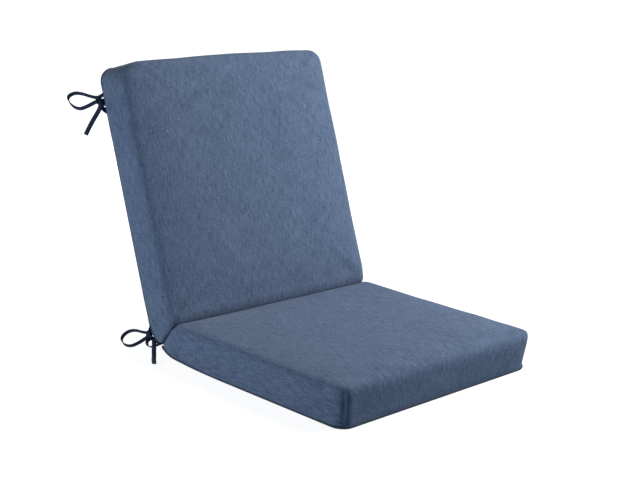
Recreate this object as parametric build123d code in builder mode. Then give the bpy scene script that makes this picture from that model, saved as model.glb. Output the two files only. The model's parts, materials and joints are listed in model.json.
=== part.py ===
from build123d import *
import math
import os

# A hinged chair pad: a seat section and a back section in one cover, joined by a sewn fold at the
# outer skin, with two tie straps at each of four places on the back's rear edges.
#
# Row frame: X across the pad, the seat's front towards -Y, +Z up. The origin is the middle of the
# seat's flat underside. Each section is drawn in its own place, with s along the section away from
# the fold and t through its thickness, from the outer skin (underside or rear) to the face.

# ---------------------------------------------------------------- driving dimensions, mm, degrees
pad_width = 457.0
seat_depth = 432.0
seat_thickness = 66.0
back_height = 495.0
back_thickness = 66.0
recline = 20.0  # the back leans this far behind upright

skin_radius = 75.0  # the outer skin turns into the fold on this radius
front_corner_radius = 20.0  # the seat's two front corners, in plan
top_corner_radius = 28.0  # the back's two top corners
roll_radius = 18.0  # the rolled edge all round each face
crease_clearance = 3.0  # each end wall leans back this far from the middle of the fold

cover_thickness = 1.2
seam_height = 3.0  # the sewn edge where the face cover meets the base or rear cover
wadding_thickness = 12.0
ply_gap = 0.2  # between plies, so that each is a body of its own
smallest_round = 1.0  # inner plies keep at least this much of a round

hinge_seam_radius = 3.0
hinge_seam_clearance = 1.0
hinge_seam_setback = 6.0  # the pinched ends of the fold stop short of the sides
stitch_length = 5.0
stitch_pitch = 9.0
stitch_radius = 0.5

corner_seam_width = 2.4
corner_seam_ridge = 0.8  # how far the dart's stitched ridge stands out

top_tie_drop = 49.0  # down the back's edge from its top
lower_tie_height = 48.0  # up the back's edge from the fold's corner
root_depth = 3.2  # the straps leave the side at least this far in from the rear skin
front_root_rise = 2.0  # the two straps of a tie, along the edge from its middle
rear_root_drop = 9.0
root_run = 6.0  # each strap leaves its seam square to the side
strap_radius = 2.0  # a round section of the same area as the 8 mm wide flat strap
knot_size = (12.0, 13.0, 12.0)
knot_round = 5.0
bartack_height = 2.6
bartack_proud = 0.9

label_length = 38.0
label_reach = 18.0
label_thickness = 0.6
label_place = -60.0  # along Y

# ------------------------------------------------------------------------------- derived values
half_width = pad_width / 2
half_fold = (90 + recline) / 2  # half of the angle between the two outer skins
fold_corner = Vector(0, seat_depth / 2, 0)  # where the two flat outer skins would meet
lining = cover_thickness + ply_gap
core_inset = lining + wadding_thickness + ply_gap

pivot_reach = skin_radius * (1 / math.sin(math.radians(half_fold)) - 1)
pivot_s = pivot_reach * math.cos(math.radians(half_fold))
pivot_t = pivot_reach * math.sin(math.radians(half_fold))
skin_centre = (skin_radius / math.tan(math.radians(half_fold)), skin_radius)

up_the_back = Vector(0, math.sin(math.radians(recline)), math.cos(math.radians(recline)))
seat_place = Plane(origin=fold_corner, x_dir=(0, -1, 0), z_dir=(-1, 0, 0))
back_place = Plane(origin=fold_corner, x_dir=up_the_back, z_dir=(1, 0, 0))
pivot = seat_place.from_local_coords(Vector(pivot_s, pivot_t, 0))


def finish(piece, name):
    """Label a finished piece and write it."""
    piece.part.label = name
    export_step(piece.part, f"parts/{name}.step")


# --------------------------------------------------------------------- the shape of one section
class Section:
    """One filled section of the pad, from which all its plies are cut."""

    def __init__(self, place, length, thickness, corner_radius):
        self.place = place
        self.length = length
        self.thickness = thickness
        self.corner_radius = corner_radius
        self.face_direction = place.y_dir

    def solid(self, skin_inset, wall_inset):
        """The section with its outer skin and its other walls moved inwards."""
        wall_angle = math.radians(half_fold - crease_clearance)
        wall_s, wall_t = math.cos(wall_angle), math.sin(wall_angle)
        setback = hinge_seam_radius + hinge_seam_clearance + wall_inset
        foot_s = pivot_s + setback * wall_t
        foot_t = pivot_t - setback * wall_s

        # the end wall starts where it crosses the round of the outer skin
        round_radius = skin_radius - skin_inset
        off_s, off_t = foot_s - skin_centre[0], foot_t - skin_centre[1]
        along = off_s * wall_s + off_t * wall_t
        reach = -along - math.sqrt(along**2 - off_s**2 - off_t**2 + round_radius**2)
        nose = (foot_s + reach * wall_s, foot_t + reach * wall_t)
        nose_angle = math.degrees(math.atan2(nose[1] - skin_centre[1], nose[0] - skin_centre[0]))

        face = self.thickness - wall_inset
        far = self.length - wall_inset
        crease = (foot_s + (face - foot_t) * wall_s / wall_t, face)
        with BuildPart() as body:
            with BuildSketch(self.place):
                with BuildLine():
                    Line((far, skin_inset), (skin_centre[0], skin_inset))
                    CenterArc(skin_centre, round_radius, -90, nose_angle + 90)
                    Polyline(nose, crease, (far, face), (far, skin_inset))
                make_face()
            extrude(amount=half_width - wall_inset, both=True)
            thickness_axis = Axis(self.place.origin, self.face_direction)
            far_corners = body.edges().filter_by(thickness_axis)
            fillet(far_corners, max(self.corner_radius - wall_inset, smallest_round))
            face_edges = body.faces().sort_by(thickness_axis)[-1].edges()
            fillet(face_edges, max(roll_radius - wall_inset, smallest_round))
        return body.part

    def middle(self, shift):
        """The plane through the middle of the thickness, moved towards the face."""
        height = self.thickness / 2 + shift
        origin = self.place.from_local_coords(Vector(0, height, 0))
        return Plane(origin=origin, x_dir=self.place.x_dir, z_dir=self.face_direction)


overshoot = 1.0  # cutting bodies pass the surfaces that they cut
seat = Section(seat_place, seat_depth, seat_thickness, front_corner_radius)
back = Section(back_place, back_height, back_thickness, top_corner_radius)


# ----------------------------------------------------------------------- covers, seams and fill
def face_cover(section):
    """The face fabric: a tray with the face, the rolled edges and the side walls."""
    outside = section.solid(seam_height + ply_gap, 0)
    hollow = section.solid(-overshoot, cover_thickness)
    with BuildPart() as cover:
        add(outside)
        add(hollow, mode=Mode.SUBTRACT)
    return cover


def outer_cover(section):
    """The flat fabric of the underside or the rear, with its turn into the fold."""
    outside = section.solid(0, lining)
    above = section.solid(cover_thickness, -overshoot)
    with BuildPart() as cover:
        add(outside)
        add(above, mode=Mode.SUBTRACT)
    return cover


def edge_seam(section):
    """The sewn edge all round, as thick as the face cover that it is turned from."""
    outside = section.solid(0, 0)
    hollow = section.solid(-overshoot, cover_thickness)
    above = section.solid(seam_height, -overshoot)
    with BuildPart() as seam:
        add(outside)
        add(hollow, mode=Mode.SUBTRACT)
        add(above, mode=Mode.SUBTRACT)
    return seam


def corner_seam(section, side):
    """The stitched ridge of the dart that closes one far corner, on the outside of the cover."""
    arm = section.corner_radius
    bottom, top = seam_height + ply_gap, section.thickness - roll_radius
    sideways = Vector(side, 0, 0)
    outwards = (section.place.x_dir + sideways).normalized()
    corner = section.place.from_local_coords(Vector(section.length - arm, (bottom + top) / 2, 0))
    corner += sideways * (half_width - arm)
    strip_place = Plane(origin=corner, x_dir=outwards, z_dir=section.face_direction)
    with BuildPart(strip_place) as strip:
        with Locations((arm, 0, 0)):
            Box(arm, corner_seam_width, top - bottom)

    outside = section.solid(-overshoot, -corner_seam_ridge)
    cover = section.solid(-overshoot, -ply_gap)
    with BuildPart() as seam:
        add(strip.part)
        add(outside, mode=Mode.INTERSECT)
        add(cover, mode=Mode.SUBTRACT)
    return seam


def wadding(section, keep, shift):
    """Half of the polyester wadding that wraps the foam."""
    outside = section.solid(lining, lining)
    hollow = section.solid(core_inset - ply_gap, core_inset - ply_gap)
    with BuildPart() as wrap:
        add(outside)
        add(hollow, mode=Mode.SUBTRACT)
        split(bisect_by=section.middle(shift), keep=keep)
    return wrap


def foam_core(section):
    """The foam slab."""
    slab = section.solid(core_inset, core_inset)
    with BuildPart() as core:
        add(slab)
    return core


for name, section, face_side, outer_side in (
    ("seat", seat, "top", "base"),
    ("back", back, "front", "rear"),
):
    finish(face_cover(section), f"{name}_face_cover")
    finish(outer_cover(section), f"{name}_{outer_side}_cover")
    finish(edge_seam(section), f"{name}_edge_seam")
    finish(corner_seam(section, -1), f"{name}_corner_seam_left")
    finish(corner_seam(section, 1), f"{name}_corner_seam_right")
    finish(wadding(section, Keep.TOP, ply_gap / 2), f"{name}_wadding_{face_side}")
    finish(wadding(section, Keep.BOTTOM, -ply_gap / 2), f"{name}_wadding_{outer_side}")
    finish(foam_core(section), f"{name}_foam_core")


# ------------------------------------------------------------------------------------ the fold
fold_length = pad_width - 2 * hinge_seam_setback
with BuildPart() as hinge_seam:
    with BuildSketch(Plane.YZ):
        with Locations((pivot.Y, pivot.Z)):
            Circle(hinge_seam_radius)
    extrude(amount=fold_length / 2, both=True)
finish(hinge_seam, "hinge_seam")

# the thread row lies on the outer side of the hinge seam, facing the corner of the two skins
outward = (fold_corner - pivot).normalized()
stitch_row = pivot + outward * (hinge_seam_radius + ply_gap + stitch_radius)
stitch_count = int(fold_length / stitch_pitch)
with BuildPart(Plane(origin=stitch_row)) as hinge_stitching:
    with GridLocations(stitch_pitch, 0, stitch_count, 1):
        Cylinder(stitch_radius, stitch_length, rotation=(0, 90, 0))
finish(hinge_stitching, "hinge_stitching")

# ------------------------------------------------------------------------------------ the label
label_middle = Vector(half_width + label_reach / 2, label_place, seam_height / 2)
with BuildPart(Plane(origin=label_middle)) as care_label:
    Box(label_reach, label_length, label_thickness)
finish(care_label, "care_label")

# ------------------------------------------------------------------------------------- the ties
# Each tie is two straps sewn into the rear edge, tied in a bow: the front strap makes the outer
# loop and tail, and the rear strap makes the loop and tail behind the back section. Points are
# (out, back, up) from the tie's place on the edge, out being away from the pad's middle.
top_front_route = [
    (12, 6, -5), (19, 17, -4), (28, 29, 4), (37, 40, 6), (45, 47, -4), (43, 44, -19),
    (33, 33, -27), (24, 20, -20), (17, 9, -12), (16, 1, -9), (13, -2, -16), (13, 4, -26),
    (16, 11, -38), (20, 16, -51), (23, 20, -65),
]
top_rear_route = [
    (12, 3, -10), (9, 13, -11), (-3, 15, -13), (-18, 15, -8), (-34, 14, -3), (-49, 13, -5),
    (-57, 10, -16), (-50, 7, -27), (-35, 6, -30), (-19, 7, -24), (-5, 7, -17), (4, 5, -14),
    (5, 9, -21), (-7, 8, -30), (-21, 4, -39), (-35, -1, -49), (-47, -5, -59),
]
lower_front_route = [
    (11, 1, -9), (15, 10, -11), (22, 20, -8), (29, 29, -11), (36, 36, -21), (34, 35, -32),
    (28, 26, -36), (20, 16, -30), (16, 6, -21), (13, -3, -13), (9, -8, -17), (8, -9, -26),
    (9, -10, -36), (13, -13, -43), (23, -22, -43.9), (35, -32, -43.9), (47, -44, -43.9),
]
lower_rear_route = [
    (10, 3, -16), (5, 12, -18), (-6, 16, -18), (-20, 17, -13), (-34, 16, -13), (-46, 15, -20),
    (-49, 15, -31), (-40, 16, -39), (-27, 15, -38), (-14, 11, -31), (-4, 7, -23), (4, 6, -21),
    (7, 9, -28), (2, 13, -37), (-9, 17, -43), (-24, 21, -43.9), (-40, 26, -43.9),
    (-56, 29, -43.9),
]
top_knot = (12, 6, -10)
lower_knot = (9.5, 2, -13)


def cord_radii(points):
    """For each corner of the route, the largest arc that its two runs allow."""
    radii = []
    for before, here, after in zip(points, points[1:], points[2:]):
        turn = math.radians((here - before).get_angle(after - here))
        shorter = min((here - before).length, (after - here).length)
        radii.append(0.45 * shorter / math.tan(turn / 2))
    return radii


def strap(name, points):
    """One strap as a plain tube, along straight runs and tangent arcs."""
    radii = cord_radii(points)
    with BuildPart() as tube:
        with BuildLine() as path:
            FilletPolyline(*points, radius=radii)
        first = (points[1] - points[0]).normalized()
        with BuildSketch(Plane(origin=points[0], z_dir=first)):
            Circle(strap_radius)
        sweep(path=path.wire())
    length = path.wire().length
    ratio = tube.part.volume / (math.pi * strap_radius**2 * length)
    print(f"{name}: length {length:.1f}, volume ratio {ratio:.4f}, arc radii", end=" ")
    print(" ".join(f"{radius:.1f}" for radius in radii))
    finish(tube, name)


def skin_rise(along):
    """How far the round at the fold lifts the outer skin, at a place along a section."""
    into_round = max(skin_centre[0] - along, 0)
    return skin_radius - math.sqrt(skin_radius**2 - into_round**2)


def tie(name, side, height, front_route, rear_route, knot):
    """The two straps, the knot and the bartack of one tie; side is -1 on the left."""
    depth = root_depth + skin_rise(height - rear_root_drop)
    on_edge = back_place.from_local_coords(Vector(height, depth, 0))
    place = on_edge + Vector(side * half_width, 0, 0)

    def at(point):
        return place + Vector(side * point[0], point[1], point[2])

    for part_name, route, along_edge in (
        ("front", front_route, front_root_rise),
        ("rear", rear_route, -rear_root_drop),
    ):
        root = place + up_the_back * along_edge
        exit_point = root + Vector(side * root_run, 0, 0)
        points = [root, exit_point] + [at(point) for point in route]
        strap(f"{name}_{part_name}_strap", points)

    with BuildPart(Plane(origin=at(knot))) as bow_knot:
        Box(*knot_size)
        fillet(bow_knot.edges(), knot_round)
    finish(bow_knot, f"{name}_knot")

    # thread bars between the two straps, on the edge seam's side
    bar_length = front_root_rise + rear_root_drop - 2 * (strap_radius + ply_gap)
    bar_middle = place + up_the_back * (front_root_rise - rear_root_drop) / 2
    bar_middle += Vector(side * bartack_proud / 2, 0, 0)
    bar_plane = Plane(origin=bar_middle, x_dir=up_the_back, z_dir=(1, 0, 0))
    with BuildPart(bar_plane) as bartack:
        Box(bar_length, bartack_height, bartack_proud)
    finish(bartack, f"{name}_bartack")


for side_name, side in (("left", -1), ("right", 1)):
    top_tie_height = back_height - top_tie_drop
    tie(f"top_{side_name}", side, top_tie_height, top_front_route, top_rear_route, top_knot)
    tie(f"lower_{side_name}", side, lower_tie_height, lower_front_route, lower_rear_route, lower_knot)

print("pivot of the fold (y, z):", round(pivot.Y, 3), round(pivot.Z, 3))
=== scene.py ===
"""A hinged chair pad in heather blue: seat and back cushions, their seams and fold, and the tie straps.

Everything is in metres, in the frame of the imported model. Each cushion is laid out in its own
section: x across the pad, s along the section from the fold's corner, t from the outer skin (the
underside or the rear) towards the face.
"""

import json
import math

import bmesh
import bpy
from mathutils import Matrix, Vector, noise


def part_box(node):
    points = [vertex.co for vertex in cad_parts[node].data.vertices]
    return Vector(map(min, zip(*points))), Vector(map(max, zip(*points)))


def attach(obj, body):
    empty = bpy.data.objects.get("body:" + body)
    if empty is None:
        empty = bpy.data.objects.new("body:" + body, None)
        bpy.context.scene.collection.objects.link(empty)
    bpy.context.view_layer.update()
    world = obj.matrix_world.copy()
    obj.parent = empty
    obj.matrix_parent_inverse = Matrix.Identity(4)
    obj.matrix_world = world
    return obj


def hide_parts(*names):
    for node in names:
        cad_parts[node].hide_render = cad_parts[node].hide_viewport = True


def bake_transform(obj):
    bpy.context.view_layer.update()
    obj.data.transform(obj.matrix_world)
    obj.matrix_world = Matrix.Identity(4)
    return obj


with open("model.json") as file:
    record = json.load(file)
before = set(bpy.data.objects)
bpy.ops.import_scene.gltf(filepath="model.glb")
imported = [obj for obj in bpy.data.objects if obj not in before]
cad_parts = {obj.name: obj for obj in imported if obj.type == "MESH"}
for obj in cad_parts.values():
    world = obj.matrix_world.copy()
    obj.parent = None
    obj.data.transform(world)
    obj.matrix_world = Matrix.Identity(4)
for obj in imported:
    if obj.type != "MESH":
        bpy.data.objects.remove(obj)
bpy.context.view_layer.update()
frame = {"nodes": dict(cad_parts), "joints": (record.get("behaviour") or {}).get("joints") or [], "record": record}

# ------------------------------------------------------------------------ sizes from the frame
mounts = {mount["name"]: mount for mount in frame["record"]["mounts"]}
pivot = Vector(frame["joints"][0]["pos_m"])
rear_direction = Vector(mounts["back_rest"]["axis"])
up_the_back = Vector((0, -rear_direction.z, rear_direction.y))
seat_low, seat_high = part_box("seat_face_cover")
half_width = seat_high.x
fold_corner = Vector((0, -seat_low.y, 0))  # where the two flat outer skins would meet


def reach(node, direction):
    """How far a node of the frame stands from the fold's corner in one direction."""
    mesh = frame["nodes"][node].data
    return max((vertex.co - fold_corner).dot(direction) for vertex in mesh.vertices)


# ------------------------------------------------------------------------------- sizes to make
roll = 0.0145  # the rolled edge all round each face
pinch_round = 0.002  # each cushion's upright corners at the fold, where they are sewn together
pinch_flare = 0.006  # how far those corners stand out past the straight sides
pinch_rise = 0.010  # how far the fold's stitching is drawn up the crease at each end
crease_round = 0.014  # and at the top of the crease
thread_radius = 0.0005
side_bulge = 0.005  # how far the sides stand out halfway up
foam_give = 0.0008  # how far the cover can sink or slide on the fill
strap_width = 0.008
strap_thickness = 0.0018
seam_beads = {"seat": 0.0024, "back": 0.0015}
fold_angle = math.atan2(up_the_back.z, up_the_back.y)  # the back's lean, from flat
half_fold = (math.pi - fold_angle) / 2


def end_rise(x):
    """How far the fold is drawn up the crease at one place across the pad."""
    return pinch_rise * ease((abs(x) - half_width + 0.030) / 0.030)


class Section:
    """One filled section of the pad, with the directions and sizes that its pieces need."""

    def __init__(self, name, along, facing, cover, skin_fade, corner_round, fullness, end_bulge, slump, overhang, cells):
        self.name = name
        self.along = along
        self.facing = facing
        self.length = reach(cover, along)
        self.thickness = reach(cover, facing)
        self.skin_fade = skin_fade
        self.corner_round = corner_round
        self.cells = cells
        self.fullness = fullness
        self.end_bulge = end_bulge
        self.slump = slump
        self.overhang = overhang
        self.pivot_s = (pivot - fold_corner).dot(along)
        self.pivot_t = (pivot - fold_corner).dot(facing)

    def place(self, x, s, t):
        return fold_corner + Vector((x, 0, 0)) + self.along * s + self.facing * t

    def measure(self, point):
        """x, s and t of a point."""
        off = point - fold_corner
        return off.x, off.dot(self.along), off.dot(self.facing)

    def skin(self, s, x=0):
        """How far the outer skin has risen towards the stitched fold."""
        from_fold = max(s - self.pivot_s, 0)
        return self.pivot_t * math.exp(-from_fold / self.skin_fade) + end_rise(x) * math.exp(-((from_fold / 0.018) ** 2))

    def crease(self, t):
        """Where the plane between the two cushions lies at a height."""
        return self.pivot_s + (t - self.pivot_t) / math.tan(half_fold)


seat = Section(
    "seat", Vector((0, -1, 0)), Vector((0, 0, 1)), "seat_face_cover", 0.040, ((0.020, 0.020), (0.030, 0.017)),
    (0.002, 0.006), 0.004, 0.0, 0.006, (76, 80, 12),
)
back = Section(
    "back", up_the_back, -rear_direction, "back_face_cover", 0.024, ((0.024, 0.044), (0.021, 0.021)),
    (0.005, 0.008), 0.003, 0.004, 0.0, (86, 80, 12),
)


# -------------------------------------------------------------------------- camera, floor, light
def aim_camera():
    azimuth, elevation, roll_angle = math.radians(-46.09), math.radians(13.75), math.radians(2.89)
    toward = Vector(
        (math.sin(azimuth) * math.cos(elevation), -math.cos(azimuth) * math.cos(elevation), math.sin(elevation))
    )
    right = Vector((math.cos(azimuth), math.sin(azimuth), 0))
    up = toward.cross(right)
    target = Vector((0, 0.066, 0.250)) - right * 0.0030 - up * 0.0503
    turn = Matrix.Rotation(roll_angle, 3, toward)
    axes = Matrix((turn @ right, turn @ up, toward)).transposed()
    lens = bpy.data.cameras.new("camera")
    lens.lens = 73.74
    lens.sensor_width = 36
    camera = bpy.data.objects.new("camera", lens)
    camera.matrix_world = Matrix.Translation(target + toward * 2.208) @ axes.to_4x4()
    bpy.context.collection.objects.link(camera)
    bpy.context.scene.camera = camera


def softbox(name, place, aim, size, power, color):
    light = bpy.data.lights.new(name, "AREA")
    light.shape = "DISK"
    light.size = size
    light.energy = power
    light.color = color
    lamp = bpy.data.objects.new(name, light)
    lamp.matrix_world = (
        Matrix.Translation(place) @ (Vector(place) - Vector(aim)).to_track_quat("Z", "Y").to_matrix().to_4x4()
    )
    bpy.context.collection.objects.link(lamp)


def seen_or_lighting(tree, seen, lighting, output_kind):
    """One shader for what the camera sees, and a dimmer one for the light that it gives off."""
    straight = wire(tree, "ShaderNodeLightPath").outputs["Is Camera Ray"]
    mixed = wire(tree, "ShaderNodeMixShader", {0: straight, 1: lighting, 2: seen})
    wire(tree, output_kind, {"Surface": mixed.outputs[0]})


def light_room():
    world = bpy.data.worlds.new("studio")
    world.use_nodes = True
    tree = world.node_tree
    tree.nodes.clear()
    backdrop = wire(tree, "ShaderNodeBackground", {"Color": (1, 1, 1, 1), "Strength": 1.0}).outputs[0]
    ambient = wire(tree, "ShaderNodeBackground", {"Color": (0.80, 1.0, 1.25, 1), "Strength": 0.09}).outputs[0]
    seen_or_lighting(tree, backdrop, ambient, "ShaderNodeOutputWorld")
    bpy.context.scene.world = world


def paper_white():
    paper = bpy.data.materials.new("paper_white")
    paper.use_nodes = True
    tree = paper.node_tree
    tree.nodes.clear()
    place = wire(tree, "ShaderNodeTexCoord").outputs["Object"]
    away = wire(tree, "ShaderNodeVectorMath", {0: place}, operation="LENGTH").outputs["Value"]
    fade = wire(tree, "ShaderNodeMapRange", {"Value": away, 1: 0.5, 2: 1.6, 3: 0.90, 4: 1.1}).outputs[0]
    sheet = wire(
        tree, "ShaderNodeBsdfPrincipled",
        {"Base Color": (0.3, 0.3, 0.3, 1), "Roughness": 1.0, "Emission Color": (1, 1, 1, 1)},
    )
    tree.links.new(fade, sheet.inputs["Emission Strength"])
    sheet = sheet.outputs[0]
    dim = wire(tree, "ShaderNodeBsdfDiffuse", {"Color": (0.25, 0.33, 0.43, 1)}).outputs[0]
    seen_or_lighting(tree, sheet, dim, "ShaderNodeOutputMaterial")
    return paper


# ------------------------------------------------------------------------------------ materials
def wire(tree, kind, inputs=None, **settings):
    """A shader node with its settings and its inputs, each a value or another node's socket."""
    made = tree.nodes.new(kind)
    for name, value in settings.items():
        setattr(made, name, value)
    for name, value in (inputs or {}).items():
        if isinstance(value, bpy.types.NodeSocket):
            tree.links.new(value, made.inputs[name])
        else:
            made.inputs[name].default_value = value
    return made


def calc(tree, operation, *terms):
    return wire(tree, "ShaderNodeMath", dict(enumerate(terms)), operation=operation).outputs[0]


def blended(tree, share, low, high):
    mixed = wire(tree, "ShaderNodeMix", {"Factor": share}, data_type="RGBA")
    for name, value in (("A", low), ("B", high)):
        socket = [s for s in mixed.inputs if s.name == name and s.type == "RGBA"][0]
        if isinstance(value, bpy.types.NodeSocket):
            tree.links.new(value, socket)
        else:
            socket.default_value = value
    return [s for s in mixed.outputs if s.type == "RGBA"][0]


def woven_cloth():
    """Plain weave of heathered yarns with long slubs: a colour, with painted shade where the threads dip under, and a
    height over the cloth.
    """
    tree = bpy.data.node_groups.new("woven_cloth", "ShaderNodeTree")
    for name, kind, value in (
        ("Place", "NodeSocketVector", (0, 0, 0)),
        ("Pitch", "NodeSocketFloat", 0.0006),
        ("Dark Yarn", "NodeSocketColor", (0.08, 0.12, 0.2, 1)),
        ("Light Yarn", "NodeSocketColor", (0.16, 0.21, 0.32, 1)),
        ("Slub", "NodeSocketFloat", 0.8),
        ("Mottle", "NodeSocketFloat", 0.5),
    ):
        socket = tree.interface.new_socket(name, in_out="INPUT", socket_type=kind)
        socket.default_value = value
    tree.interface.new_socket("Color", in_out="OUTPUT", socket_type="NodeSocketColor")
    tree.interface.new_socket("Height", in_out="OUTPUT", socket_type="NodeSocketFloat")
    given = wire(tree, "NodeGroupInput").outputs
    result = wire(tree, "NodeGroupOutput")

    threads = wire(
        tree, "ShaderNodeVectorMath", {0: given["Place"], "Scale": calc(tree, "DIVIDE", 1.0, given["Pitch"])},
        operation="SCALE",
    ).outputs[0]
    split = wire(tree, "ShaderNodeSeparateXYZ", {0: threads}).outputs
    over = calc(
        tree, "FLOORED_MODULO",
        calc(tree, "ADD", calc(tree, "FLOOR", split["X"]), calc(tree, "FLOOR", split["Y"])), 2.0,
    )
    rounds = [
        calc(tree, "SINE", calc(tree, "MULTIPLY", calc(tree, "FRACT", split[axis]), math.pi)) for axis in "XY"
    ]

    def crown(across, lengthwise):
        dip = calc(tree, "MULTIPLY_ADD", lengthwise, 0.45, 0.55)
        return calc(tree, "MULTIPLY", across, dip)

    def chosen(on_top, under):
        gain = calc(tree, "SUBTRACT", on_top, under)
        return calc(tree, "MULTIPLY_ADD", gain, over, under)

    height = chosen(crown(rounds[0], rounds[1]), crown(rounds[1], rounds[0]))

    def tone(stretch, detail):
        scaled = wire(tree, "ShaderNodeVectorMath", {0: threads, 1: stretch}, operation="MULTIPLY").outputs[0]
        speckle = wire(tree, "ShaderNodeTexNoise", {"Vector": scaled, "Scale": 1.0, "Detail": detail})
        return calc(tree, "SUBTRACT", speckle.outputs[0], 0.5)

    yarn_tone = chosen(tone((0.9, 0.05, 1), 1.0), tone((0.05, 0.9, 1), 1.0))
    weft_slub = calc(tree, "MULTIPLY", tone((0.06, 0.36, 1), 2.0), 0.55)
    slub_tone = calc(tree, "ADD", tone((0.40, 0.029, 1), 3.0), weft_slub)
    mottle_tone = calc(tree, "ADD", tone((0.16, 0.12, 1), 3.0), tone((0.012, 0.012, 1), 2.0))
    share = calc(tree, "MULTIPLY_ADD", yarn_tone, 1.1, 0.5)
    share = calc(tree, "MULTIPLY_ADD", slub_tone, given["Slub"], share)
    share = calc(tree, "MULTIPLY_ADD", mottle_tone, given["Mottle"], share)
    share = wire(tree, "ShaderNodeClamp", {0: share}).outputs[0]
    yarns = blended(tree, share, given["Dark Yarn"], given["Light Yarn"])
    # painted shade: the yarn colour is darkened where the threads dip under others, as if shadowed in the weave
    shade = calc(tree, "MULTIPLY_ADD", height, 0.35, 0.75)
    shaded = wire(tree, "ShaderNodeVectorMath", {0: yarns, "Scale": shade}, operation="SCALE").outputs[0]
    tree.links.new(shaded, result.inputs["Color"])
    tree.links.new(height, result.inputs["Height"])
    return tree


weave_group = woven_cloth()


def cloth(name, coordinates, pitch, dark, light, slub, mottle, sheen, edge_stitch=False):
    """A woven finish. coordinates is the UV map or attribute that the threads follow, or None."""
    material = bpy.data.materials.new(name)
    material.use_nodes = True
    tree = material.node_tree
    tree.nodes.clear()
    if coordinates is None:
        place = wire(tree, "ShaderNodeTexCoord").outputs["Object"]
    elif coordinates == "cut":
        place = wire(tree, "ShaderNodeUVMap", uv_map="cut").outputs[0]
    else:
        place = wire(tree, "ShaderNodeAttribute", attribute_name=coordinates).outputs["Vector"]
    weave = wire(
        tree, "ShaderNodeGroup",
        node_tree=weave_group,
    )
    tree.links.new(place, weave.inputs["Place"])
    weave.inputs["Pitch"].default_value = pitch
    weave.inputs["Dark Yarn"].default_value = (*dark, 1)
    weave.inputs["Light Yarn"].default_value = (*light, 1)
    weave.inputs["Slub"].default_value = slub
    weave.inputs["Mottle"].default_value = mottle
    color, height = weave.outputs["Color"], weave.outputs["Height"]
    if edge_stitch:
        across = calc(tree, "ABSOLUTE", wire(tree, "ShaderNodeSeparateXYZ", {0: place}).outputs["X"])
        beside = calc(tree, "ABSOLUTE", calc(tree, "SUBTRACT", across, strap_width * 0.36))
        row = calc(tree, "LESS_THAN", beside, thread_radius)
        height = calc(tree, "SUBTRACT", height, row)
        color = wire(
            tree, "ShaderNodeVectorMath", {0: color, "Scale": calc(tree, "MULTIPLY_ADD", row, -0.3, 1.0)},
            operation="SCALE",
        ).outputs[0]
    bump = wire(tree, "ShaderNodeBump", {"Height": height, "Strength": 0.45, "Distance": pitch * 0.4})
    shader = wire(
        tree, "ShaderNodeBsdfPrincipled",
        {
            "Base Color": color, "Roughness": 0.92, "Normal": bump.outputs[0],
            "Sheen Weight": sheen, "Sheen Roughness": 0.5, "Specular IOR Level": 0.2,
        },
    )
    wire(tree, "ShaderNodeOutputMaterial", {"Surface": shader.outputs[0]})
    return material


def filling(name, dark, light, grain, roughness):
    """Wadding or foam: a pale fill with fine pores."""
    material = bpy.data.materials.new(name)
    material.use_nodes = True
    tree = material.node_tree
    tree.nodes.clear()
    place = wire(tree, "ShaderNodeTexCoord").outputs["Object"]
    pores = wire(tree, "ShaderNodeTexNoise", {"Vector": place, "Scale": grain, "Detail": 4.0}).outputs[0]
    color = blended(tree, pores, (*dark, 1), (*light, 1))
    bump = wire(tree, "ShaderNodeBump", {"Height": pores, "Strength": 0.5, "Distance": 0.001})
    shader = wire(
        tree, "ShaderNodeBsdfPrincipled",
        {"Base Color": color, "Roughness": roughness, "Normal": bump.outputs[0]},
    )
    wire(tree, "ShaderNodeOutputMaterial", {"Surface": shader.outputs[0]})
    return material


heather_blue = cloth("heather_blue", "cut", 0.0006, (0.048, 0.082, 0.150), (0.168, 0.234, 0.360), 1.8, 0.35, 0.10)
fold_blue = cloth("fold_blue", None, 0.0006, (0.048, 0.082, 0.150), (0.168, 0.234, 0.360), 1.8, 0.35, 0.10)
# the sewn edge ridges and the fold's bead are a darker blue than the cover: partly the seam itself, partly painted
# shade of the underside edge and the crease
seam_blue_painted_shade = cloth("seam_blue_painted_shade", None, 0.0005, (0.026, 0.040, 0.068), (0.068, 0.096, 0.150), 0.5, 0.4, 0.05)
strap_navy = cloth("strap_navy", "strap", 0.0004, (0.010, 0.018, 0.050), (0.026, 0.042, 0.098), 0.5, 0.3, 0.08, True)
thread_navy = cloth("thread_navy", None, 0.0002, (0.020, 0.030, 0.055), (0.050, 0.070, 0.115), 0.3, 0.2, 0.10)
fibre_white = filling("fibre_white", (0.70, 0.70, 0.69), (0.90, 0.90, 0.89), 900.0, 0.95)
foam_cream = filling("foam_cream", (0.66, 0.60, 0.42), (0.88, 0.83, 0.66), 1600.0, 0.9)
label_white = cloth("label_white", None, 0.0002, (0.62, 0.62, 0.60), (0.82, 0.82, 0.80), 0.2, 0.2, 0.3)


# ---------------------------------------------------------------------------------- small tools
def make_piece(name, bm, material, body=None):
    """The bmesh as a finished piece, smooth, on one body."""
    mesh = bpy.data.meshes.new(name)
    bmesh.ops.recalc_face_normals(bm, faces=bm.faces)
    for face in bm.faces:
        face.smooth = True
    bm.to_mesh(mesh)
    bm.free()
    mesh.materials.append(material)
    piece = bpy.data.objects.new(name, mesh)
    bpy.context.collection.objects.link(piece)
    if body:
        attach(piece, body)
    return piece


def ease(value):
    value = min(max(value, 0), 1)
    return value * value * (3 - 2 * value)


def between(low, high, share):
    return low + (high - low) * share


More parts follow.
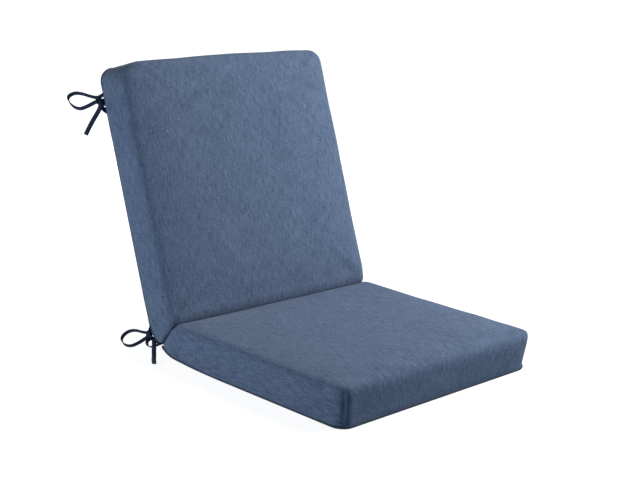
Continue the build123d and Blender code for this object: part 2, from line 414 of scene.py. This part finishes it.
def draw_section(bm, line, wide_at, width, thickness, sides=10, closed=False):
    """A flattened round section drawn along a line; wide_at(share) is its wide direction."""
    slot = bm.verts.layers.int.get("slot") or bm.verts.layers.int.new("slot")
    cloth_place = bm.verts.layers.float_vector.get("strap") or bm.verts.layers.float_vector.new("strap")
    ring = bmesh.ops.create_circle(bm, segments=sides, radius=1)["verts"]
    oval = []
    for index, vertex in enumerate(ring):
        vertex[slot] = index
        oval.append((vertex.co.x * width / 2, vertex.co.y * thickness / 2))
    first = ring
    edges = list({edge for vertex in ring for edge in vertex.link_edges})
    run = 0
    count = len(line)
    for index, centre in enumerate(line):
        if closed:
            ahead = line[(index + 1) % count] - line[index - 1]
        else:
            ahead = line[min(index + 1, count - 1)] - line[max(index - 1, 0)]
        ahead.normalize()
        wide = wide_at(index / (count - 1))
        wide = (wide - ahead * wide.dot(ahead)).normalized()
        flat = ahead.cross(wide)
        if index:
            run += (centre - line[index - 1]).length
            drawn = bmesh.ops.extrude_edge_only(bm, edges=edges)["geom"]
            ring = [part for part in drawn if isinstance(part, bmesh.types.BMVert)]
            new = set(ring)
            edges = [
                part for part in drawn
                if isinstance(part, bmesh.types.BMEdge) and part.verts[0] in new and part.verts[1] in new
            ]
        for vertex in ring:
            across, up = oval[vertex[slot]]
            vertex.co = centre + wide * across + flat * up
            vertex[cloth_place] = Vector((across, run, 0))
    if closed:
        ends = sorted(first, key=lambda v: v[slot]) + sorted(ring, key=lambda v: v[slot])
        lookup = {vertex[slot]: vertex for vertex in first}
        rims = [edge for vertex in ends for edge in vertex.link_edges if edge.is_boundary]
        if lookup:
            bmesh.ops.bridge_loops(bm, edges=list(set(rims)))
    else:
        for rim in (first, ring):
            bmesh.ops.contextual_create(bm, geom=rim)


# ------------------------------------------------------------------------------------- the ties
# Each route's points are (out, back, up) in metres from the tie's place on the edge.
top_front_route = (
    (0.012, 0.006, -0.005), (0.019, 0.017, -0.004), (0.028, 0.029, 0.000), (0.037, 0.040, 0.001),
    (0.046, 0.048, -0.006), (0.043, 0.044, -0.019), (0.033, 0.033, -0.027), (0.024, 0.020, -0.020),
    (0.017, 0.009, -0.012), (0.016, 0.001, -0.009), (0.013, -0.002, -0.016), (0.013, 0.004, -0.026),
    (0.016, 0.011, -0.038), (0.021, 0.017, -0.052), (0.026, 0.023, -0.069),
)
top_rear_route = (
    (0.012, 0.003, -0.010), (0.009, 0.013, -0.011), (-0.003, 0.015, -0.013), (-0.018, 0.015, -0.008),
    (-0.034, 0.014, -0.003), (-0.049, 0.013, -0.005), (-0.057, 0.010, -0.016), (-0.050, 0.007, -0.027),
    (-0.035, 0.006, -0.030), (-0.019, 0.007, -0.024), (-0.005, 0.007, -0.017), (0.004, 0.005, -0.014),
    (0.005, 0.009, -0.021), (-0.007, 0.008, -0.030), (-0.021, 0.004, -0.039), (-0.035, -0.001, -0.049),
    (-0.047, -0.005, -0.059),
)
lower_front_route = (
    (0.009, 0.000, -0.009), (0.014, 0.009, -0.010), (0.022, 0.020, -0.007), (0.030, 0.030, -0.010),
    (0.038, 0.038, -0.021), (0.036, 0.036, -0.033), (0.028, 0.027, -0.037), (0.019, 0.015, -0.029),
    (0.014, 0.005, -0.020), (0.010, -0.003, -0.013), (0.006, -0.009, -0.017), (0.006, -0.010, -0.026),
    (0.007, -0.011, -0.036), (0.010, -0.015, -0.043), (0.018, -0.025, -0.0439), (0.028, -0.037, -0.0439),
    (0.037, -0.050, -0.0439),
)
lower_rear_route = (
    (0.010, 0.003, -0.016), (0.005, 0.012, -0.018), (-0.006, 0.016, -0.018), (-0.020, 0.017, -0.013),
    (-0.034, 0.016, -0.013), (-0.046, 0.015, -0.020), (-0.049, 0.015, -0.031), (-0.040, 0.016, -0.039),
    (-0.027, 0.015, -0.038), (-0.014, 0.011, -0.031), (-0.004, 0.007, -0.023), (0.004, 0.006, -0.021),
    (0.007, 0.009, -0.028), (0.002, 0.013, -0.037), (-0.009, 0.017, -0.043), (-0.024, 0.021, -0.0439),
    (-0.040, 0.026, -0.0439), (-0.056, 0.029, -0.0439),
)
front_root_rise = 0.002  # the two straps of a tie, along the edge from its middle
rear_root_drop = 0.009
root_run = 0.006  # each strap leaves its seam square to the side


def smooth_line(name, points):
    """Points along the smooth curve that the route's points control."""
    curve = bpy.data.curves.new(name, "CURVE")
    curve.dimensions = "3D"
    spline = curve.splines.new("NURBS")
    spline.points.add(len(points) - 1)
    for control, point in zip(spline.points, points):
        control.co = (*point, 1)
    spline.order_u = 3
    spline.use_endpoint_u = True
    spline.resolution_u = 8
    holder = bpy.data.objects.new(name, curve)
    bpy.context.collection.objects.link(holder)
    mesh = bpy.data.meshes.new_from_object(holder)
    line = [vertex.co.copy() for vertex in mesh.vertices]
    bpy.data.objects.remove(holder)
    bpy.data.meshes.remove(mesh)
    return line


def make_knot(name, centre, side, lean):
    """The knot of a bow: a filled heart with a short wrap of the strap round it."""
    bm = bmesh.new()
    outward = Vector((side * 0.69, 0.72, 0))
    across = Vector((side * 0.72, -0.69, 0))
    axis = (outward * math.cos(lean) + Vector((0, 0, math.sin(lean)))).normalized()
    upward = axis.cross(across).normalized()
    turns = 1.35
    line = []
    for step in range(33):
        angle = math.tau * turns * step / 32
        shift = between(-0.0012, 0.0012, step / 32)
        radius = between(0.0036, 0.0044, step / 32)
        round_axis = across * math.cos(angle) * radius + upward * math.sin(angle) * radius * 1.15
        line.append(centre + axis * shift + round_axis)
    draw_section(bm, line, lambda share: axis, 0.0075, 0.0017)
    heart = [centre + axis * (reach_out * 0.0052) for reach_out in (-1, -0.6, 0, 0.6, 1)]
    draw_section(bm, heart, lambda share: upward, 0.0072, 0.0062, sides=12)
    for vertex in bm.verts:
        crumple = noise.noise(vertex.co * 260) * 0.0005
        vertex.co += (vertex.co - centre).normalized() * crumple
    return make_piece(name, bm, strap_navy, "back")


def make_strap(name, place, side, route, rise, loop_wide, tail_wide, tail_from):
    """One strap: out of its seam, round its loop, through the knot and along its tail."""
    root = place + up_the_back * rise
    points = [root, root + Vector((side * root_run, 0, 0))]
    points += [place + Vector((side * out, rearward, up)) for out, rearward, up in route]
    line = smooth_line(name, points)

    def wide_at(share):
        return loop_wide.lerp(tail_wide, ease((share - tail_from) / 0.08))

    bm = bmesh.new()
    draw_section(bm, line, wide_at, strap_width, strap_thickness)
    for vertex in bm.verts:
        vertex.co.z = max(vertex.co.z, 0.0003)
    strap = make_piece(f"{name}_ribbon", bm, strap_navy, "back")
    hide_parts(name)


def make_tie(name, side, front_route, rear_route, knot_place, lean, rear_tail_wide):
    place = Vector(mounts[f"{name}_tie"]["pos_m"])
    out, rearward, up = knot_place
    knot = make_knot(f"{name}_knot_wrap", place + Vector((side * out, rearward, up)), side, lean)
    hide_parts(f"{name}_knot")
    loop_wide = Vector((side * 0.57, -0.20, 0.80))
    tail_wide = Vector((side * 0.69, 0.72, 0))
    make_strap(
        f"{name}_front_strap", place, side, front_route, front_root_rise,
        loop_wide, tail_wide, 0.62,
    )
    make_strap(
        f"{name}_rear_strap", place, side, rear_route, -rear_root_drop,
        up_the_back, rear_tail_wide, 0.70,
    )


def make_bartack(name, side):
    """A close row of thread bars sewn over the straps' roots."""
    place = Vector(mounts[f"{name}_tie"]["pos_m"])
    bm = bmesh.new()
    for step in range(9):
        along = between(front_root_rise - 0.0022, -rear_root_drop + 0.0022, step / 8)
        bar = bmesh.ops.create_uvsphere(bm, u_segments=8, v_segments=6, radius=1)["verts"]
        centre = place + up_the_back * along + Vector((side * 0.0004, 0, 0))
        for vertex in bar:
            vertex.co = centre + Vector(
                (vertex.co.x * 0.0005, vertex.co.y * 0.0013, 0)
            ) + up_the_back * vertex.co.z * 0.00042
    bartack = make_piece(f"{name}_bartack_thread", bm, thread_navy, "back")
    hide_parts(f"{name}_bartack")


def make_ties():
    for side_name, side in (("left", -1), ("right", 1)):
        make_tie(
            f"top_{side_name}", side, top_front_route, top_rear_route, (0.012, 0.006, -0.010), 0.10,
            Vector((side * 0.5, 0, 1)),
        )
        make_tie(
            f"lower_{side_name}", side, lower_front_route, lower_rear_route, (0.0080, 0.001, -0.0125), 0.0,
            Vector((0, 1, 0)),
        )
        for height in ("top", "lower"):
            make_bartack(f"{height}_{side_name}", side)


# --------------------------------------------------------------------------------- the cushions
def shaped(section, grid, slack):
    """The place of one point of the box grid on a section. slack takes the face in for filling."""
    run = section.length - section.pivot_s
    from_fold = (grid.x + 0.5) * run
    across = grid.y * 2 * half_width
    side = 0 if across < 0 else 1
    skin = section.skin(section.pivot_s + from_fold, across)
    t = between(skin, section.thickness, grid.z + 0.5)
    climb = min(max((t - section.pivot_t) / (section.thickness - section.pivot_t), 0), 1)
    corner = between(*section.corner_round[side], climb) if grid.x > 0 else between(pinch_round, crease_round, climb)
    inner = Vector(
        (min(max(from_fold, corner), run - corner), min(max(across, corner - half_width), half_width - corner))
    )
    off = Vector((from_fold, across)) - inner
    if off.length > 0:
        off *= max(abs(off.x), abs(off.y)) / off.length
        edge, drop = corner - off.length, section.thickness - t
        if edge < roll and drop < roll:
            bend = Vector((roll - edge, roll - drop))
            if bend.length > 0:
                bend *= max(bend) / bend.length
            edge, drop = roll - bend.x, roll - bend.y
            off = off.normalized() * (corner - edge)
            t = section.thickness - drop
    if off.length > 0:
        height = (t - skin) / (section.thickness - skin)
        beside_end = min(from_fold, run - from_fold)
        away = ease((max(beside_end, half_width - abs(across)) + 0.02) / 0.09)
        end_bulge = section.end_bulge * ease(0.5 + across / (2 * half_width))
        bulge = side_bulge if beside_end > half_width - abs(across) else end_bulge
        off += off.normalized() * bulge * max(4 * height * (1 - height), 0) * away
    from_fold, across = inner + off
    skew = section.overhang * ease(across / half_width) * climb - section.slump * ease(-across / half_width)
    from_fold *= 1 + skew / run
    across *= 1 + pinch_flare / half_width * (1 - ease(from_fold / 0.06))
    across *= 1 + section.fullness[side] / half_width * ease(from_fold / 0.05) * ease((run - from_fold + 0.02) / 0.05)
    lean = (1 - from_fold / run) ** 2
    gap = 0.0004 + 0.0025 * math.exp(-(t - section.pivot_t) / 0.008)
    s = section.pivot_s + from_fold + ((t - section.pivot_t) / math.tan(half_fold) + gap) * lean
    t -= slack * ease((grid.z + 0.5) * 1.4)
    return section.place(across, s, t)


def box_grid(cells):
    """A closed box of one unit, cut into a grid of cells along each axis."""
    bm = bmesh.new()
    bmesh.ops.create_cube(bm, size=1)
    for axis, count in enumerate(cells):
        whole = [e for e in bm.edges if abs((e.verts[0].co - e.verts[1].co)[axis]) > 0.9]
        bmesh.ops.subdivide_edges(bm, edges=whole, cuts=count - 1, use_grid_fill=True)
    return bm


def swell(cushion, held, cap):
    """Fills the cushion: its held points stay, the rest moves out by at most cap, and the foam
    inside lets nothing sink."""
    start = [vertex.co.copy() for vertex in cushion.data.vertices]
    outwards = [vertex.normal.copy() for vertex in cushion.data.vertices]
    pins = cushion.vertex_groups.new(name="held")
    pins.add(held, 1.0, "REPLACE")
    fill = cushion.modifiers.new("fill", "CLOTH")
    fill.settings.quality = 6
    fill.settings.mass = 0.25
    fill.settings.tension_stiffness = 12
    fill.settings.compression_stiffness = 12
    fill.settings.shear_stiffness = 6
    fill.settings.bending_stiffness = 0.6
    fill.settings.air_damping = 2
    fill.settings.use_pressure = True
    fill.settings.uniform_pressure_force = 4
    fill.settings.effector_weights.gravity = 0
    fill.settings.vertex_group_mass = "held"
    fill.collision_settings.use_collision = False
    fill.point_cache.frame_end = 20
    scene = bpy.context.scene
    for number in range(1, 21):
        scene.frame_set(number)
    filled = cushion.evaluated_get(bpy.context.evaluated_depsgraph_get()).to_mesh()
    ends = [vertex.co.copy() for vertex in filled.vertices]
    cushion.evaluated_get(bpy.context.evaluated_depsgraph_get()).to_mesh_clear()
    cushion.modifiers.remove(fill)
    cushion.vertex_groups.clear()
    scene.frame_set(1)
    for vertex, before, after, outward in zip(cushion.data.vertices, start, ends, outwards):
        out = (after - before).dot(outward)
        sideways = after - before - outward * out
        if out > 0:
            out = cap * (1 - math.exp(-out / (cap * 2.5)))
        else:
            out = max(out * 0.1, -foam_give)
        if sideways.length > foam_give:
            sideways *= foam_give / sideways.length
        vertex.co = before + outward * out + sideways


def settle(section, bm, grid):
    """Keeps a filled cushion off the floor, the chair's back and the other cushion, and draws in
    its darts, tucks and puckers."""
    bm.normal_update()
    moves = []
    for vertex, point in zip(bm.verts, grid):
        x, s, t = section.measure(vertex.co)
        fold_share, height = point.x + 0.5, point.z + 0.5
        on_wall = abs(point.y) > 0.499 or fold_share > 0.999
        move = Vector()
        if fold_share > 0.999 and abs(point.y) > 0.499:
            # the dart that closes a far corner, with a tuck where it ends
            dart = 0.0010 * ease(height * 12) * (1 - ease((height - 0.72) / 0.12))
            tuck = 0.0010 * math.exp(-(((height - 0.80) / 0.07) ** 2))
            move -= vertex.normal * (dart + tuck)
        if on_wall:
            run = x if fold_share > 0.999 else s
            pucker = noise.noise(Vector((run * 45, t * 12, 3))) * 0.0016 * math.exp(-t / 0.012)
            move += vertex.normal * pucker * ease(height * 10)
        from_pinch = Vector((s - section.pivot_s, t - section.pivot_t))
        if abs(point.y) > 0.499 and from_pinch.length < 0.09:
            angle = math.atan2(from_pinch.y, from_pinch.x)
            near = ease(from_pinch.length / 0.015) * math.exp(-from_pinch.length / 0.030)
            move += vertex.normal * math.sin(angle * 11) * 0.0018 * near * ease(height * 10)
        lump = noise.noise(Vector((x * 14, s * 14, t * 14))) * 0.0009
        move += vertex.normal * lump * ease(height * 6)
        moves.append(move)
    for vertex, point, move in zip(bm.verts, grid, moves):
        x, s, t = section.measure(vertex.co + move)
        height = point.z + 0.5
        floor = 0.0003 if section is seat else -0.002
        if height > 0.001:
            t = max(t, floor)
        else:
            t = min(max(t, 0.0003), section.skin(s, x) + 0.0006)
        gap = 0.0004 + 0.0025 * math.exp(-(t - section.pivot_t) / 0.008)
        s = max(s, section.crease(t) + gap)
        vertex.co = section.place(x, s, t)


def cut_cloth(section, bm, grid):
    """Lays the cloth's threads over the cushion: one panel on the face, and one down each side."""
    layer = bm.loops.layers.uv.new("cut")
    for face in bm.faces:
        middle = sum((grid[vertex.index] for vertex in face.verts), Vector()) / len(face.verts)
        beside = (0.5 - abs(middle.y)) * 2 * half_width
        beyond = (0.5 - abs(middle.x)) * section.length
        for loop in face.loops:
            x, s, t = section.measure(loop.vert.co)
            drop = max(section.thickness - t, 0) if middle.z > -0.499 else 0
            if beside < beyond:
                loop[layer].uv = (x + math.copysign(drop, middle.y), s)
            else:
                loop[layer].uv = (x, s + math.copysign(drop, middle.x))


def make_cushion(section, slack, cap, replaced):
    bm = box_grid(section.cells)
    bm.verts.ensure_lookup_table()
    grid = [vertex.co.copy() for vertex in bm.verts]
    for vertex, point in zip(bm.verts, grid):
        vertex.co = shaped(section, point, slack)
    bmesh.ops.recalc_face_normals(bm, faces=bm.faces)
    name = f"{section.name}_cushion"
    cushion = make_piece(name, bm, heather_blue)
    held = [
        index for index, point in enumerate(grid)
        if point.z < -0.499 and max(abs(point.x), abs(point.y)) > 0.499
    ]
    swell(cushion, held, cap)
    bm = bmesh.new()
    bm.from_mesh(cushion.data)
    bm.verts.ensure_lookup_table()
    bm.verts.index_update()
    settle(section, bm, grid)
    cut_cloth(section, bm, grid)
    rim = bm.edges.layers.float.new("crease_edge")
    for edge in bm.edges:
        ends = [grid[vertex.index] for vertex in edge.verts]
        if all(point.z < -0.499 and max(abs(point.x), abs(point.y)) > 0.499 for point in ends):
            edge[rim] = 0.7
    bm.to_mesh(cushion.data)

    # the wadding just inside the cover
    bm.normal_update()
    inset = 0.0025
    for vertex, place in zip(bm.verts, [v.co - v.normal * inset for v in bm.verts]):
        vertex.co = place
    fill = make_piece(f"{section.name}_wadding_wrap", bm, fibre_white, section.name)
    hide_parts(*[node for node in replaced if "wadding" in node])

    smooth = cushion.modifiers.new("smooth", "SUBSURF")
    smooth.levels = smooth.render_levels = 1
    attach(cushion, section.name)
    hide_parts(*[node for node in replaced if "wadding" not in node])
    return cushion, grid


# ---------------------------------------------------------------------------- seams and stitches
def thread_line(name, line, radius, material, body, node):
    bm = bmesh.new()
    draw_section(bm, line, lambda share: Vector((0.3, 0.2, 0.9)), radius * 2, radius * 2, sides=8)
    piece = make_piece(name, bm, material, body)
    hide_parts(node)
    return piece


def rim_points(section, cushion, grid):
    """The sewn edge: from the pinch at the fold down one side, round the far end and back."""
    rim = [
        (index, point) for index, point in enumerate(grid)
        if point.z < -0.499 and (abs(point.y) > 0.499 or point.x > 0.499)
    ]

    def order(item):
        point = item[1]
        if point.x > 0.499:
            return 1 + point.y + 0.5
        return point.x + 0.5 if point.y < 0 else 2 + 0.5 - point.x

    return [cushion.data.vertices[index].co.copy() for index, point in sorted(rim, key=order)]


def make_edge_seam(section, cushion, grid):
    centre = section.place(0, section.length / 2, section.thickness / 2)
    bead = seam_beads[section.name]
    line = []
    for point in rim_points(section, cushion, grid):
        inward = (centre - point).normalized()
        line.append(point + section.facing * bead + inward * 0.0003)
    name = f"{section.name}_edge_seam"
    return thread_line(f"{name}_ridge", line, bead, seam_blue_painted_shade, section.name, name)


def make_corner_seam(section, cushion, grid, side_name, side):
    column = sorted(
        (point.z, index) for index, point in enumerate(grid)
        if point.x > 0.499 and point.y * side > 0.499 and -0.42 < point.z < 0.26
    )
    outward = (section.along + Vector((side, 0, 0))).normalized()
    line = [cushion.data.vertices[index].co - outward * 0.0001 for height, index in column]
    name = f"{section.name}_corner_seam_{side_name}"
    return thread_line(f"{name}_thread", line, thread_radius, thread_navy, section.name, name)


def make_fold():
    """The strip of cover that joins the two cushions, round the stitched bead, and its stitches."""
    outward = (fold_corner - pivot).normalized()
    up_the_crease = seat.facing + seat.along / math.tan(half_fold)
    bead = 0.0033
    joined = 0.011  # how far the strip runs on each cushion
    seat_edge = seat.place(0, seat.pivot_s + joined, seat.skin(seat.pivot_s + joined)) - seat.facing * 0.0009
    back_edge = back.place(0, back.pivot_s + joined, back.skin(back.pivot_s + joined)) - back.facing * 0.0009
    saddle = pivot + outward * bead
    seat_knee = seat.place(0, seat.pivot_s + 0.0045, seat.skin(seat.pivot_s + 0.0045)) - seat.facing * 0.0010
    back_knee = back.place(0, back.pivot_s + 0.0045, back.skin(back.pivot_s + 0.0045)) - back.facing * 0.0010
    profile = smooth_line("fold_profile", [seat_edge, seat_knee, saddle, back_knee, back_edge])
    half_run = half_width - 0.008
    bm = bmesh.new()
    bmesh.ops.create_grid(bm, x_segments=60, y_segments=len(profile) - 1, size=0.5)
    for vertex in bm.verts:
        step = round((vertex.co.y + 0.5) * (len(profile) - 1))
        across = vertex.co.x * 2 * half_run
        ripple = noise.noise(Vector((across * 60, step * 0.2, 7))) * 0.0003
        vertex.co = profile[step] + Vector((across, 0, 0)) + outward * ripple + up_the_crease * end_rise(across)
    bmesh.ops.recalc_face_normals(bm, faces=bm.faces)
    bmesh.ops.solidify(bm, geom=bm.faces[:], thickness=0.0006)
    web = make_piece("fold_strip", bm, fold_blue)
    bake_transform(web)

    low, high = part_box("hinge_stitching")
    pitch, length = 0.009, 0.005
    count = round((high.x - low.x - length) / pitch) + 1
    bm = bmesh.new()
    for step in range(count):
        stitch = bmesh.ops.create_uvsphere(bm, u_segments=8, v_segments=6, radius=1)["verts"]
        across = (step - (count - 1) / 2) * pitch
        centre = pivot + outward * (bead + 0.0006) + Vector((across, 0, 0)) + up_the_crease * end_rise(across)
        for vertex in stitch:
            vertex.co = centre + Vector((vertex.co.x * length / 2, vertex.co.y * 0.0005, vertex.co.z * 0.0005))
    stitches = make_piece("fold_stitches", bm, thread_navy)
    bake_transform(stitches)
    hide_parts("hinge_stitching")

    low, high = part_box("hinge_seam")
    line = []
    for step in range(61):
        across = between(low.x, high.x, step / 60)
        line.append(pivot + Vector((across, 0, 0)) + up_the_crease * end_rise(across))
    thread_line("fold_bead", line, (high.z - low.z) / 2, seam_blue_painted_shade, "seat", "hinge_seam")


def make_label():
    """A plain satin label, folded once, that curls a little as it leaves the seam."""
    low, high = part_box("care_label")
    middle_y, half_length = (low.y + high.y) / 2, (high.y - low.y) / 2
    reach_out = high.x - low.x
    bm = bmesh.new()
    bmesh.ops.create_grid(bm, x_segments=10, y_segments=12, size=0.5)
    for vertex in bm.verts:
        out = vertex.co.x + 0.5
        along = vertex.co.y * 2
        curl = 0.0016 * out * out + 0.0006 * math.sin(along * 2.4) * out
        vertex.co = Vector((low.x - 0.001 + out * reach_out, middle_y + along * half_length, 0.0010 + curl))
    bmesh.ops.recalc_face_normals(bm, faces=bm.faces)
    bmesh.ops.solidify(bm, geom=bm.faces[:], thickness=0.0005)
    label = make_piece("blank_label", bm, label_white, "seat")
    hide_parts("care_label")


# ------------------------------------------------------------------------------------- assembly
aim_camera()
make_ties()
seat_cushion, seat_grid = make_cushion(
    seat, -0.002, 0.006, ("seat_face_cover", "seat_base_cover", "seat_wadding_top", "seat_wadding_base")
)
back_cushion, back_grid = make_cushion(
    back, -0.003, 0.008, ("back_face_cover", "back_rear_cover", "back_wadding_front", "back_wadding_rear")
)
for section, cushion, grid in ((seat, seat_cushion, seat_grid), (back, back_cushion, back_grid)):
    make_edge_seam(section, cushion, grid)
    for side_name, side in (("left", -1), ("right", 1)):
        make_corner_seam(section, cushion, grid, side_name, side)
make_fold()
make_label()
for node in ("seat_foam_core", "back_foam_core"):
    frame["nodes"][node].data.materials.clear()
    frame["nodes"][node].data.materials.append(foam_cream)

bm = bmesh.new()
bmesh.ops.create_grid(bm, x_segments=1, y_segments=1, size=12)
floor_mesh = bpy.data.meshes.new("floor")
bm.to_mesh(floor_mesh)
bm.free()
floor = bpy.data.objects.new("floor", floor_mesh)
bpy.context.collection.objects.link(floor)
floor_mesh.materials.append(paper_white())

softbox("key", (1.22, -0.68, 1.41), (0, 0.05, 0.2), 0.7, 45, (1, 0.99, 0.97))
softbox("left_fill", (-1.65, 0.42, 0.20), (0, 0.1, 0.15), 0.4, 14, (0.97, 0.98, 1.0))
softbox("rear_fill", (0.5, 2.2, 0.35), (0, 0.3, 0.25), 1.0, 26, (1, 1, 1))
light_room()
bpy.context.scene.view_settings.view_transform = "Standard"
